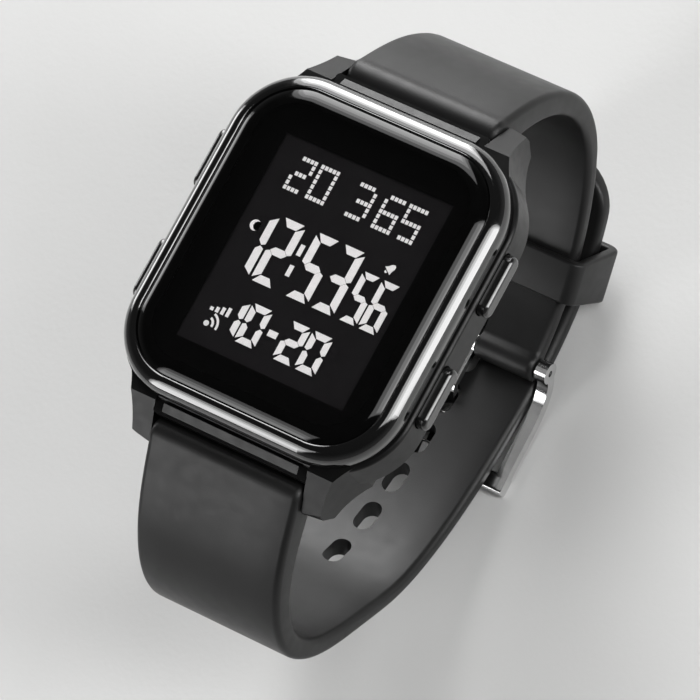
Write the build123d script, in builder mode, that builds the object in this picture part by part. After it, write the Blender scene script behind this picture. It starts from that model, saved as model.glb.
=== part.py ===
from build123d import *
from math import cos, radians, sin
import os

# A digital wristwatch, buckled, with its dial level.
# Millimetres. The origin is the centre of the case back's outer face.
# +Z leaves the dial, +Y points to 12 o'clock and +X to 3 o'clock.

os.makedirs("parts", exist_ok=True)

# Fits between pieces
glued_gap = 0.05
running_gap = 0.05
slip_gap = 0.15
easy_gap = 0.3

# Crystal
case_height = 12.4
lens_half_width = 17.5
lens_half_length = 19.9
lens_corner = 7.5
lens_thickness = 2.0
lens_edge_width = 1.9
lens_edge_radius = 3.0
lens_gasket_height = 0.2

# Bezel
bezel_width = 2.15
bezel_crest_drop = 0.45
bezel_roll = 1.9
bezel_lip_roll = 0.25
bezel_height = 3.3
bezel_shelf = 1.1
bezel_foot_chamfer = 0.4

# Display
window_border = 5.3
window_end_border = 5.65
window_shift = -0.25
mask_thickness = 0.12
lcd_border = 1.2
lcd_thickness = 1.3
backlight_thickness = 0.6
zebra_width = 1.8

# Case middle
middle_side_step = 0.55
middle_end_step = 0.15
middle_floor = 1.2
middle_tuck = 2.6
middle_tuck_height = 2.4
middle_shoulder = 0.5
ledge_reach = 1.7
ledge_drop = 0.6
rib_width = 0.95
rib_edge_gap = 0.4
rib_end_gap = 1.25
wall = 4.3
cavity_corner = 7.0

# Lugs
strap_width = 22.0
lug_gap = strap_width / 2 + slip_gap
lug_root_depth = 7.2
lug_root_thickness = 5.25
lug_flare_depth = 2.4
lug_waist_reach = 1.2
lug_waist_thickness = 3.35
lug_reach = 4.8
lug_tip_thickness = 2.7
lug_tip_slant = 0.5
lug_facet_reach = 0.4
lug_nose_z = 4.4
lug_heel_depth = 1.7
lug_edge_round = 0.2
bar_reach = 3.0
bar_z = 4.4

# Spring bars
bar_radius = 0.75
bar_tip_radius = 0.4
bar_tip_length = 1.1

# Case back
back_side_inset = 3.3
back_end_inset = 3.2
back_corner = 3.6
back_spigot = 0.5
back_edge_chamfer = 0.5
screw_side_inset = 1.7
screw_end_inset = 1.6
screw_radius = 0.6
screw_head_radius = 1.1
screw_head_height = 0.6
screw_length = 3.6
screw_sink = 0.1
screw_slot_length = 1.3
screw_slot_width = 0.3
screw_slot_depth = 0.3
seal_inset = 0.4
seal_width = 0.8
seal_height = 0.6

# Push buttons
button_y = 7.8
button_z = 6.9
button_length = 8.2
button_height = 2.4
button_proud = 1.35
button_travel = 0.7
button_recess = 1.0
button_round = 0.5
button_side_round = 0.1
stem_radius = 1.0
gland_depth = 2.9
ring_wire = 0.33
clip_thickness = 0.3
clip_radius = 1.8
clip_groove = 0.25
stem_tail = 0.3

# Module
module_gap = 0.6
frame_wall = 1.6
web_thickness = 0.7
board_thickness = 1.0
board_gap = 0.25
board_corner = 4.0
display_corner = 0.6
zebra_end_inset = 3.9
zebra_inset = 1.2
cell_radius = 10.0
cell_thickness = 3.2
cell_side_gap = 0.45
cell_end_gap = 1.45
cell_step = 0.25
clip_strap_width = 5.0
clip_strap_thickness = 0.25
chip_side = 6.0
chip_height = 1.1
chip_corner = 0.8
chip_side_inset = 4.45
chip_end_inset = 4.95
can_radius = 1.0
can_length = 6.0
can_x = 6.0
can_end_inset = 4.45
leaf_gap = 0.1
leaf_thickness = 0.2
leaf_width = 2.0
leaf_reach = 2.2
leaf_height = 1.6
buzzer_radius = 9.5
buzzer_thickness = 0.3
spring_cell_gap = 1.2
spring_y = 2.0
spring_radius = 0.7
spring_wire = 0.16
spring_pitch = 0.9
spring_sides = 5
module_screw_side_inset = 1.95
module_screw_end_inset = 2.25
module_screw_radius = 0.5
module_screw_head = 0.9
module_screw_head_height = 0.4

# Straps: heights are in the frame of the case
strap_end_thickness = 2.4
strap_end_width = 20.0
strap_edge_round = 0.85
strap_root_thickness = 4.5
# Cross sections of the two straps: place along the length, and how much of the root's extra size is left
short_shares = [0.0, 0.22, 0.55, 1.0]
long_shares = [0.0, 0.12, 0.4, 1.0]
extra_width_shares = [1.0, 0.6, 0.0, 0.0]
extra_thickness_shares = [1.0, 0.48, 0.0, 0.0]
eye_radius = 2.4

# Round part of the loop, where both strap ends lie over each other
loop_y = 4.5
loop_z = -7.6
inner_layer_radius = 34.8
inner_layer_top = 60.0
hinge_angle = 8.5

# Route of the short strap to the round part: distance out from its spring bar, and height
short_start = (1, -0.8)
short_route = [(5.8, -1.3), (10.0, -8.3), (11.5, -16.2)]

# Route of the long strap to the round part, in the same way
long_route = [(9.4, -3.2), (13.3, -9.6), (14.3, -14.8), (12.7, -21.6), (5.8, -30.7), (-0.2, -36.6)]
# Angles about the loop's centre for the rest of its middle line, which lies outside the inner
# layer by these shares of the strap's thickness
long_angles = [-35.6, -18.0, -5.0, 8.5, 20.0, 31.0, 43.0, 50.0]
long_rise_shares = [2.17, 1.26, 1.08, 1.44, 1.83, 2.15, 2.33, 2.5]

# Adjusting holes of the long strap
hole_angle = -4.6
hole_step = 10.0
hole_first = -4
hole_last = 4
hole_length = 4.6
hole_width = 2.6
tail_round = 7.0

# Buckle
hinge_eye_radius = 1.9
arm_gap = 0.3
arm_width = 1.6
arm_height = 1.5
arm_end_radius = 1.45
arm_neck_back = 1.6
arm_neck_drop = 2.6
arm_belly_back = 7.0
arm_belly_drop = 4.3
rail_back = 15.0
rail_drop = 4.9
rail_length = 2.6
rail_height = 1.9
rail_round = 0.6
notch_width = 2.8
notch_depth = 1.05
tongue_width = 2.2
tongue_thickness = 1.0
tongue_slot = 3.0
tongue_slot_reach = 3.2
tongue_shoulder = 6.7
tongue_heel = 9.1
tongue_bend = 0.8

# Keeper
keeper_angle = 29.0
keeper_spread = 10.0
keeper_wall = 1.4
keeper_side_gap = 0.5
keeper_slack = 0.45
keeper_round = 1.0

# Derived heights, counted up from the case back
lens_base = case_height - lens_thickness
lens_skirt_base = lens_base - lens_edge_radius
lens_overhang = lens_edge_radius - lens_edge_width
shelf_top = lens_base - lens_gasket_height
bezel_crest = case_height - bezel_crest_drop
middle_top = bezel_crest - bezel_height
mask_base = lens_base - mask_thickness
lcd_top = mask_base - slip_gap
lcd_base = lcd_top - lcd_thickness
backlight_base = lcd_base - backlight_thickness
web_base = backlight_base - web_thickness
board_base = web_base - board_thickness
frame_floor = middle_floor + back_spigot + glued_gap
cell_base = board_base - slip_gap - cell_thickness
buzzer_top = middle_floor + back_spigot + buzzer_thickness

# Derived plan sizes
bezel_half_width = lens_half_width + bezel_width
bezel_half_length = lens_half_length + bezel_width
window_half_width = lens_half_width - window_border
window_half_length = lens_half_length - window_end_border
middle_half_width = bezel_half_width + middle_side_step
middle_half_length = bezel_half_length + middle_end_step
middle_corner = lens_corner + bezel_width
ledge_half_length = middle_half_length + ledge_reach
ledge_top = middle_top - ledge_drop
rib_outer = ledge_half_length - rib_edge_gap
rib_inner = rib_outer - rib_width
rib_half_length = lug_gap - rib_end_gap
lug_root = middle_half_length - lug_root_depth
lug_root_side = lug_gap + lug_root_thickness
lug_flare = middle_half_length - lug_flare_depth
lug_waist = middle_half_length + lug_waist_reach
lug_waist_side = lug_gap + lug_waist_thickness
lug_tip = middle_half_length + lug_reach
lug_tip_side = lug_gap + lug_tip_thickness
lug_facet_start = middle_half_length + lug_facet_reach
lug_heel = lug_tip - lug_heel_depth
bar_y = middle_half_length + bar_reach
back_half_width = middle_half_width - back_side_inset
back_half_length = middle_half_length - back_end_inset
screw_x = back_half_width - screw_side_inset
screw_y = back_half_length - screw_end_inset
opening_half_width = lens_half_width - bezel_shelf
opening_half_length = lens_half_length - bezel_shelf
cavity_half_width = middle_half_width - wall
cavity_half_length = middle_half_length - wall
module_half_width = cavity_half_width - module_gap
module_half_length = cavity_half_length - module_gap
lcd_half_width = window_half_width + lcd_border
lcd_half_length = window_half_length + lcd_border
board_half_width = module_half_width - frame_wall - board_gap
board_half_length = module_half_length - frame_wall - board_gap
light_half_length = lcd_half_length - 2 * zebra_inset - slip_gap
zebra_y = lcd_half_length - zebra_inset
zebra_half_length = lcd_half_width - zebra_end_inset
seal_half_width = cavity_half_width + seal_inset
seal_half_length = cavity_half_length + seal_inset
module_screw_x = board_half_width - module_screw_side_inset
module_screw_y = board_half_length - module_screw_end_inset
cell_x = board_half_width - cell_radius - cell_side_gap
cell_y = cell_radius + cell_end_gap - board_half_length
chip_x = chip_side_inset - board_half_width
chip_y = board_half_length - chip_end_inset
can_y = board_half_length - can_end_inset
spring_x = cell_x - cell_radius - spring_cell_gap
recess_x = middle_half_width - button_recess
stem_gland_x = middle_half_width - gland_depth
button_base_x = recess_x + button_travel + running_gap
clip_x = cavity_half_width - running_gap - clip_thickness
stem_end_x = clip_x - stem_tail
leaf_x = stem_end_x - button_travel - leaf_gap

# Derived sizes of the straps, buckle and keeper
strap_widths = [strap_end_width + share * (strap_width - strap_end_width) for share in extra_width_shares]
strap_thicknesses = [strap_end_thickness + share * (strap_root_thickness - strap_end_thickness)
                     for share in extra_thickness_shares]
long_radii = [inner_layer_radius + share * strap_end_thickness for share in long_rise_shares]
tail_radius = long_radii[-1]
hinge_y = loop_y + inner_layer_radius * sin(radians(hinge_angle))
hinge_z = loop_z - inner_layer_radius * cos(radians(hinge_angle))
arm_inside = strap_end_width / 2 + arm_gap
rail_y = hinge_y - rail_back
rail_z = hinge_z - rail_drop
rail_bottom = rail_z - rail_height / 2
tongue_bed = rail_bottom + tongue_thickness / 2
keeper_half_width = strap_end_width / 2 + keeper_side_gap + keeper_wall
keeper_inner_radius = inner_layer_radius - strap_end_thickness / 2 - slip_gap - keeper_wall
keeper_outer_radius = long_radii[-2] + strap_end_thickness / 2 + keeper_slack + keeper_wall

button_places = {
    "upper_right": (1, 1),
    "lower_right": (1, -1),
    "upper_left": (-1, 1),
    "lower_left": (-1, -1),
}


def save(solid, label):
    """Name a finished piece and write its file."""
    solid.label = label
    export_step(solid, f"parts/{label}.step")


def slab(half_width, half_length, corner, base, height, mode=Mode.ADD):
    """A plate with rounded corners in plan."""
    with BuildSketch(Plane.XY.offset(base)) as plan:
        RectangleRounded(2 * half_width, 2 * half_length, corner)
    extrude(plan.sketch, amount=height, mode=mode)


def side_plane(side, end, distance):
    """Plane of a button at a distance from the watch's middle, with its normal pointing outwards."""
    return Plane(origin=(side * distance, end * button_y, button_z), x_dir=(0, 1, 0), z_dir=(side, 0, 0))


def around(angle, radius):
    """Point of the round part of the loop, counted from straight down towards 12 o'clock."""
    return (loop_y + radius * sin(radians(angle)), loop_z - radius * cos(radians(angle)))


def radial_plane(angle, radius):
    """Plane square to the loop's radius, with its normal pointing out of the loop."""
    y, z = around(angle, radius)
    return Plane(origin=(0, y, z), x_dir=(1, 0, 0), z_dir=(0, sin(radians(angle)), -cos(radians(angle))))


def strap_section(route, share, width, thickness):
    """Rounded cross section of a strap at a share of its route."""
    with BuildSketch(Plane(origin=route @ share, x_dir=(1, 0, 0), z_dir=route % share)) as section:
        RectangleRounded(width, thickness, strap_edge_round)
    return section.sketch


# Crystal with its rounded border
with BuildPart() as lens:
    slab(lens_half_width + lens_overhang, lens_half_length + lens_overhang, lens_corner + lens_overhang,
         lens_skirt_base, case_height - lens_skirt_base)
    fillet(lens.faces().sort_by(Axis.Z)[-1].edges(), radius=lens_edge_radius)
    slab(lens_half_width, lens_half_length, lens_corner, lens_base, lens_thickness, Mode.INTERSECT)
save(lens.part, "lens")

# Black print under the crystal, open at the window
with BuildPart() as lens_mask:
    slab(opening_half_width - easy_gap, opening_half_length - easy_gap, lens_corner - bezel_shelf,
         mask_base, mask_thickness)
    with BuildSketch(Plane.XY.offset(mask_base)):
        with Locations((0, window_shift)):
            Rectangle(2 * window_half_width, 2 * window_half_length)
    extrude(amount=mask_thickness, mode=Mode.SUBTRACT)
save(lens_mask.part, "lens_mask")

# Ring that seals the crystal on its shelf
with BuildPart() as lens_gasket:
    slab(lens_half_width - slip_gap, lens_half_length - slip_gap, lens_corner, shelf_top, lens_gasket_height)
    slab(opening_half_width, opening_half_length, lens_corner - bezel_shelf,
         shelf_top, lens_gasket_height, Mode.SUBTRACT)
save(lens_gasket.part, "lens_gasket")

# Glossy frame round the crystal, rolled over outwards
with BuildPart() as bezel_ring:
    slab(bezel_half_width, bezel_half_length, lens_corner + bezel_width, middle_top, bezel_height)
    fillet(bezel_ring.faces().sort_by(Axis.Z)[-1].edges(), radius=bezel_roll)
    chamfer(bezel_ring.faces().sort_by(Axis.Z)[0].edges(), length=bezel_foot_chamfer)
    slab(lens_half_width + glued_gap, lens_half_length + glued_gap, lens_corner + glued_gap,
         shelf_top, case_height, Mode.SUBTRACT)
    slab(opening_half_width, opening_half_length, lens_corner - bezel_shelf,
         middle_top, bezel_height, Mode.SUBTRACT)
    fillet(bezel_ring.edges().group_by(Axis.Z)[-1], radius=bezel_lip_roll)
save(bezel_ring.part, "bezel_ring")

# Lugs, cut from their plan and side outlines: thin blades with a flat facet that slopes to the tip
with BuildPart() as lugs:
    with BuildSketch(Plane.XY.offset(middle_floor)):
        for side in (1, -1):
            for end in (1, -1):
                with BuildLine():
                    flank = Spline((side * lug_root_side, end * lug_flare),
                                   (side * lug_waist_side, end * lug_waist),
                                   (side * lug_tip_side, end * (lug_tip - lug_tip_slant)))
                    Polyline(flank @ 1, (side * lug_gap, end * lug_tip), (side * lug_gap, end * lug_root),
                             (side * lug_root_side, end * lug_root), flank @ 0)
                make_face()
    extrude(amount=middle_top - middle_floor)
    with BuildSketch(Plane.YZ):
        with BuildLine():
            Polyline((0, middle_top), (lug_facet_start, middle_top), (lug_tip, lug_nose_z),
                     (lug_heel, middle_floor), (0, middle_floor), close=True)
        make_face()
        mirror(about=Plane.YZ)
    extrude(amount=middle_half_width, both=True, mode=Mode.INTERSECT)
    fillet(lugs.edges().group_by(lambda e: abs(e.center().Y))[-1], radius=lug_edge_round)

# Case middle: walls, ledges over the strap ends, lugs, and the seats of all that it holds
with BuildPart() as case_middle:
    slab(middle_half_width, middle_half_length, middle_corner, middle_floor, middle_top - middle_floor)
    chamfer(case_middle.faces().sort_by(Axis.Z)[0].edges(), length=middle_tuck_height, length2=middle_tuck)
    fillet(case_middle.faces().sort_by(Axis.Z)[-1].edges(), radius=middle_shoulder)
    slab(lug_gap, ledge_half_length, middle_shoulder, middle_floor, ledge_top - middle_floor)
    with BuildSketch(Plane.YZ):
        Polygon((rib_inner, ledge_top), (rib_inner, middle_top), (rib_outer, ledge_top), align=None)
        mirror(about=Plane.YZ)
    extrude(amount=rib_half_length, both=True)
    add(lugs.part)
    slab(cavity_half_width, cavity_half_length, cavity_corner, 0, case_height, Mode.SUBTRACT)
    # Room for the strap's eyes, and the sockets of their spring bars
    with BuildSketch(Plane.YZ):
        with Locations((bar_y, bar_z), (-bar_y, bar_z)):
            Circle(eye_radius + easy_gap)
    extrude(amount=lug_gap, both=True, mode=Mode.SUBTRACT)
    with BuildSketch(Plane.YZ):
        with Locations((bar_y, bar_z), (-bar_y, bar_z)):
            Circle(bar_tip_radius + running_gap)
    extrude(amount=lug_gap + bar_tip_length + running_gap, both=True, mode=Mode.SUBTRACT)
    # Button recesses, stem bores and ring glands
    for side, end in button_places.values():
        with BuildSketch(side_plane(side, end, recess_x)):
            RectangleRounded(button_length + 2 * slip_gap, button_height + 2 * slip_gap, button_height / 2)
        extrude(amount=button_proud + button_recess, mode=Mode.SUBTRACT)
        with BuildSketch(side_plane(side, end, cavity_half_width - running_gap)):
            Circle(stem_radius + running_gap)
        extrude(amount=recess_x - cavity_half_width + 2 * running_gap, mode=Mode.SUBTRACT)
        with BuildSketch(side_plane(side, end, stem_gland_x - ring_wire - running_gap)):
            Circle(stem_radius + 2 * (ring_wire + running_gap))
        extrude(amount=2 * (ring_wire + running_gap), mode=Mode.SUBTRACT)
    # Groove of the back seal and the screws' holes
    with BuildSketch(Plane.XY.offset(middle_floor)):
        RectangleRounded(2 * (seal_half_width + seal_width), 2 * (seal_half_length + seal_width),
                         cavity_corner + seal_inset + seal_width)
        RectangleRounded(2 * seal_half_width, 2 * seal_half_length, cavity_corner + seal_inset,
                         mode=Mode.SUBTRACT)
    extrude(amount=seal_height, mode=Mode.SUBTRACT)
    with BuildSketch(Plane.XY.offset(middle_floor)):
        with GridLocations(2 * screw_x, 2 * screw_y, 2, 2):
            Circle(screw_radius + glued_gap)
    extrude(amount=screw_length - middle_floor + screw_sink + easy_gap, mode=Mode.SUBTRACT)
save(case_middle.part, "case_middle")

# Flat seal between the back and the case middle
with BuildPart() as back_gasket:
    with BuildSketch(Plane.XY.offset(middle_floor)):
        RectangleRounded(2 * (seal_half_width + seal_width - glued_gap),
                         2 * (seal_half_length + seal_width - glued_gap),
                         cavity_corner + seal_inset + seal_width - glued_gap)
        RectangleRounded(2 * (seal_half_width + glued_gap), 2 * (seal_half_length + glued_gap),
                         cavity_corner + seal_inset + glued_gap, mode=Mode.SUBTRACT)
    extrude(amount=seal_height - glued_gap)
save(back_gasket.part, "back_gasket")

# Steel back with a spigot inside the case and sunk screw seats
with BuildPart() as case_back:
    slab(back_half_width, back_half_length, back_corner, 0, middle_floor)
    chamfer(case_back.faces().sort_by(Axis.Z)[0].edges(), length=back_edge_chamfer)
    slab(cavity_half_width - slip_gap, cavity_half_length - slip_gap, cavity_corner - slip_gap,
         middle_floor, back_spigot)
    with Locations(Plane(origin=(0, 0, 0), x_dir=(1, 0, 0), z_dir=(0, 0, -1))):
        with GridLocations(2 * screw_x, 2 * screw_y, 2, 2):
            CounterBoreHole(screw_radius + slip_gap, screw_head_radius + slip_gap,
                            screw_head_height + screw_sink, middle_floor)
save(case_back.part, "case_back")

# Screws of the back, one cross-slotted piece per corner
with BuildPart() as back_screws:
    with BuildSketch(Plane.XY.offset(screw_sink)):
        with GridLocations(2 * screw_x, 2 * screw_y, 2, 2):
            Circle(screw_head_radius)
    extrude(amount=screw_head_height)
    with BuildSketch(Plane.XY.offset(screw_sink)):
        with GridLocations(2 * screw_x, 2 * screw_y, 2, 2):
            Circle(screw_radius)
    extrude(amount=screw_length)
    with BuildSketch(Plane.XY.offset(screw_sink)):
        with GridLocations(2 * screw_x, 2 * screw_y, 2, 2):
            Rectangle(screw_slot_length, screw_slot_width)
            Rectangle(screw_slot_width, screw_slot_length)
    extrude(amount=screw_slot_depth, mode=Mode.SUBTRACT)
save(back_screws.part, "back_screws")

# Buttons with their stems, retaining clips and sealing rings
for place, (side, end) in button_places.items():
    with BuildPart() as button:
        with BuildSketch(side_plane(side, end, button_base_x)):
            RectangleRounded(button_length, button_height, button_height / 2 - button_side_round)
        extrude(amount=middle_half_width + button_proud - button_base_x)
        fillet(button.faces().sort_by(Axis.X)[-1 if side > 0 else 0].edges(), radius=button_round)
        with BuildSketch(side_plane(side, end, stem_end_x)):
            Circle(stem_radius)
        extrude(amount=button_base_x - stem_end_x)
        with BuildSketch(side_plane(side, end, clip_x - running_gap)):
            Circle(stem_radius)
            Circle(stem_radius - clip_groove, mode=Mode.SUBTRACT)
        extrude(amount=clip_thickness + 2 * running_gap, mode=Mode.SUBTRACT)
    save(button.part, f"button_{place}")

    with BuildPart() as clip:
        with BuildSketch(side_plane(side, end, clip_x)):
            Circle(clip_radius)
            Circle(stem_radius - clip_groove + glued_gap, mode=Mode.SUBTRACT)
            with Locations((0, clip_radius / 2)):
                Rectangle(2 * (stem_radius - clip_groove), clip_radius, mode=Mode.SUBTRACT)
        extrude(amount=clip_thickness)
    save(clip.part, f"clip_{place}")

with BuildPart() as button_seals:
    for side, end in button_places.values():
        with BuildSketch(Plane(origin=(side * stem_gland_x, end * button_y, button_z), x_dir=(0, 1, 0),
                               z_dir=(0, 0, 1))):
            with Locations((stem_radius + running_gap + ring_wire, 0)):
                Circle(ring_wire)
        revolve(axis=Axis((side * stem_gland_x, end * button_y, button_z), (1, 0, 0)))
save(button_seals.part, "button_seals")

# Moulded frame that carries the display on top and the board below
with BuildPart() as module_frame:
    slab(module_half_width, module_half_length, cavity_corner - module_gap, frame_floor, lcd_top - frame_floor)
    slab(lcd_half_width + slip_gap, lcd_half_length + slip_gap, display_corner, lcd_base, lcd_thickness,
         Mode.SUBTRACT)
    slab(lcd_half_width + slip_gap, light_half_length + slip_gap, display_corner, backlight_base,
         backlight_thickness, Mode.SUBTRACT)
    slab(module_half_width - frame_wall, module_half_length - frame_wall, cavity_corner - module_gap - frame_wall,
         frame_floor, web_base - frame_floor, Mode.SUBTRACT)
    with BuildSketch(Plane.XY.offset(web_base)):
        with Locations((0, zebra_y), (0, -zebra_y)):
            Rectangle(2 * (zebra_half_length + slip_gap), zebra_width + 2 * slip_gap)
    extrude(amount=lcd_base - web_base, mode=Mode.SUBTRACT)
    for side, end in button_places.values():
        with BuildSketch(side_plane(side, end, module_half_width - frame_wall - running_gap)):
            Rectangle(2 * (clip_radius + easy_gap), 2 * (clip_radius + easy_gap))
        extrude(amount=frame_wall + easy_gap, mode=Mode.SUBTRACT)
    with BuildSketch(Plane.XY.offset(web_base)):
        with Locations((module_screw_x, module_screw_y), (-module_screw_x, -module_screw_y)):
            Circle(module_screw_radius + glued_gap)
    extrude(amount=web_thickness, mode=Mode.SUBTRACT)
save(module_frame.part, "module_frame")

with BuildPart() as lcd_panel:
    slab(lcd_half_width, lcd_half_length, display_corner, lcd_base, lcd_thickness)
save(lcd_panel.part, "lcd_panel")

with BuildPart() as backlight_panel:
    slab(lcd_half_width, light_half_length, display_corner, backlight_base, backlight_thickness)
save(backlight_panel.part, "backlight_panel")

with BuildPart() as zebra_strips:
    with BuildSketch(Plane.XY.offset(web_base)):
        with Locations((0, zebra_y), (0, -zebra_y)):
            Rectangle(2 * zebra_half_length, zebra_width)
    extrude(amount=lcd_base - web_base)
save(zebra_strips.part, "zebra_strips")

with BuildPart() as circuit_board:
    slab(board_half_width, board_half_length, board_corner, board_base, board_thickness)
    with BuildSketch(Plane.XY.offset(board_base)):
        with Locations((module_screw_x, module_screw_y), (-module_screw_x, -module_screw_y)):
            Circle(module_screw_radius + slip_gap)
    extrude(amount=board_thickness, mode=Mode.SUBTRACT)
save(circuit_board.part, "circuit_board")

with BuildPart() as module_screws:
    with BuildSketch(Plane.XY.offset(board_base)):
        with Locations((module_screw_x, module_screw_y), (-module_screw_x, -module_screw_y)):
            Circle(module_screw_radius)
    extrude(amount=board_thickness + web_thickness)
    with BuildSketch(Plane.XY.offset(board_base - module_screw_head_height)):
        with Locations((module_screw_x, module_screw_y), (-module_screw_x, -module_screw_y)):
            Circle(module_screw_head)
    extrude(amount=module_screw_head_height)
save(module_screws.part, "module_screws")

# Pieces under the board: chip under its resin drop, quartz can, cell and its clip
with BuildPart() as clock_chip:
    with BuildSketch(Plane.XY.offset(board_base - chip_height)):
        with Locations((chip_x, chip_y)):
            RectangleRounded(chip_side, chip_side, chip_corner)
    extrude(amount=chip_height)
    fillet(clock_chip.faces().sort_by(Axis.Z)[0].edges(), radius=chip_height / 2)
save(clock_chip.part, "clock_chip")

with BuildPart() as quartz_can:
    with BuildSketch(Plane.YZ.offset(can_x - can_length / 2)):
        with Locations((can_y, board_base - can_radius)):
            Circle(can_radius)
    extrude(amount=can_length)
save(quartz_can.part, "quartz_can")

with BuildPart() as coin_cell:
    with BuildSketch(Plane.XY.offset(cell_base)):
        with Locations((cell_x, cell_y)):
            Circle(cell_radius)
    extrude(amount=cell_thickness)
    fillet(coin_cell.faces().sort_by(Axis.Z)[0].edges(), radius=cell_step)
save(coin_cell.part, "coin_cell")

with BuildPart() as battery_clip:
    with BuildSketch(Plane.XZ.offset(-cell_y - clip_strap_width / 2)):
        with Locations((cell_x, cell_base - clip_strap_thickness)):
            Rectangle(2 * (cell_radius + slip_gap + clip_strap_thickness),
                      board_base - cell_base + clip_strap_thickness, align=(Align.CENTER, Align.MIN))
        with Locations((cell_x, cell_base)):
            Rectangle(2 * (cell_radius + slip_gap), board_base - cell_base,
                      align=(Align.CENTER, Align.MIN), mode=Mode.SUBTRACT)
    extrude(amount=clip_strap_width)
save(battery_clip.part, "battery_clip")

# Leaf contacts that the button stems press
with BuildPart() as button_contacts:
    for side, end in button_places.values():
        foot_x = side * (leaf_x - leaf_reach / 2)
        with BuildSketch(Plane.XY.offset(board_base - leaf_thickness)):
            with Locations((foot_x, end * button_y)):
                Rectangle(leaf_reach, leaf_width)
        extrude(amount=leaf_thickness)
        with BuildSketch(Plane.XY.offset(board_base - leaf_thickness)):
            with Locations((side * (leaf_x - leaf_thickness / 2), end * button_y)):
                Rectangle(leaf_thickness, leaf_width)
        extrude(amount=leaf_height)
save(button_contacts.part, "button_contacts")

# Buzzer: brass disc with its ceramic, glued inside the back, and the coil that feeds it
with BuildPart() as buzzer_disc:
    with BuildSketch(Plane.XY.offset(middle_floor + back_spigot)):
        Circle(buzzer_radius)
    extrude(amount=buzzer_thickness)
save(buzzer_disc.part, "buzzer_disc")

with BuildPart() as buzzer_spring:
    with BuildLine():
        coil = Helix(spring_pitch, board_base - buzzer_top - 2 * spring_wire, spring_radius,
                     center=(spring_x, spring_y, buzzer_top + spring_wire))
    with BuildSketch(Plane(origin=coil @ 0, z_dir=coil % 0)):
        RegularPolygon(spring_wire, spring_sides)
    sweep(path=coil, is_frenet=True)
save(buzzer_spring.part, "buzzer_spring")

# Spring bars of the lugs
with BuildPart() as lug_spring_bars:
    with BuildSketch(Plane.YZ):
        with Locations((bar_y, bar_z), (-bar_y, bar_z)):
            Circle(bar_radius)
    extrude(amount=strap_width / 2, both=True)
    with BuildSketch(Plane.YZ):
        with Locations((bar_y, bar_z), (-bar_y, bar_z)):
            Circle(bar_tip_radius)
    extrude(amount=lug_gap + bar_tip_length, both=True)
save(lug_spring_bars.part, "lug_spring_bars")

# Short strap, from the 12 o'clock lugs to the buckle
with BuildPart() as strap_12:
    with BuildLine(Plane.YZ) as short_line:
        lead = Spline((bar_y, bar_z), *[(bar_y + out, height) for out, height in short_route],
                      around(inner_layer_top, inner_layer_radius),
                      tangents=[short_start, (-cos(radians(inner_layer_top)), -sin(radians(inner_layer_top)))])
        ThreePointArc(lead @ 1, around((inner_layer_top + hinge_angle) / 2, inner_layer_radius),
                      (hinge_y, hinge_z))
    route = short_line.wire()
    sections = [strap_section(route, *sizes) for sizes in zip(short_shares, strap_widths, strap_thicknesses)]
    sweep(sections, path=route, multisection=True)
    with BuildSketch(Plane.YZ):
        with Locations((bar_y, bar_z)):
            Circle(eye_radius)
    extrude(amount=strap_width / 2, both=True)
    with BuildSketch(Plane.YZ):
        with Locations((hinge_y, hinge_z)):
            Circle(hinge_eye_radius)
    extrude(amount=strap_end_width / 2, both=True)
    with BuildSketch(Plane.YZ):
        with Locations((bar_y, bar_z), (hinge_y, hinge_z)):
            Circle(bar_radius + running_gap)
    extrude(amount=strap_width, both=True, mode=Mode.SUBTRACT)
    with BuildSketch(Plane.YZ):
        with Locations((hinge_y, hinge_z)):
            Rectangle(2 * tongue_slot_reach, 2 * tongue_slot_reach)
    extrude(amount=tongue_slot / 2, both=True, mode=Mode.SUBTRACT)
save(strap_12.part, "strap_12")

# Long strap, from the 6 o'clock lugs under the buckle to its free end past the keeper
with BuildPart() as strap_6:
    with BuildLine(Plane.YZ) as long_line:
        Spline((-bar_y, bar_z), *[(-bar_y - out, height) for out, height in long_route],
               *[around(*turn) for turn in zip(long_angles, long_radii)])
    route = long_line.wire()
    sections = [strap_section(route, *sizes) for sizes in zip(long_shares, strap_widths, strap_thicknesses)]
    sweep(sections, path=route, multisection=True)
    with BuildSketch(Plane.YZ):
        with Locations((-bar_y, bar_z)):
            Circle(eye_radius)
    extrude(amount=strap_width / 2, both=True)
    with BuildSketch(Plane.YZ):
        with Locations((-bar_y, bar_z)):
            Circle(bar_radius + running_gap)
    extrude(amount=strap_width, both=True, mode=Mode.SUBTRACT)
    for step in range(hole_first, hole_last + 1):
        with BuildSketch(radial_plane(hole_angle + step * hole_step, inner_layer_radius)):
            SlotOverall(hole_length, hole_width, rotation=90)
        extrude(amount=keeper_outer_radius - inner_layer_radius, both=True, mode=Mode.SUBTRACT)
    with BuildSketch(radial_plane(long_angles[-1], tail_radius)):
        Rectangle(strap_width, 2 * tail_round)
        with Locations((0, 2 * tail_round)):
            RectangleRounded(strap_end_width, 4 * tail_round, tail_round, mode=Mode.SUBTRACT)
    extrude(amount=eye_radius, both=True, mode=Mode.SUBTRACT)
save(strap_6.part, "strap_6")

# Buckle: spring bar, frame and tongue
with BuildPart() as buckle_spring_bar:
    with BuildSketch(Plane.YZ):
        with Locations((hinge_y, hinge_z)):
            Circle(bar_radius)
    extrude(amount=strap_end_width / 2, both=True)
    with BuildSketch(Plane.YZ):
        with Locations((hinge_y, hinge_z)):
            Circle(bar_tip_radius)
    extrude(amount=arm_inside + bar_tip_length, both=True)
save(buckle_spring_bar.part, "buckle_spring_bar")

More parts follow.
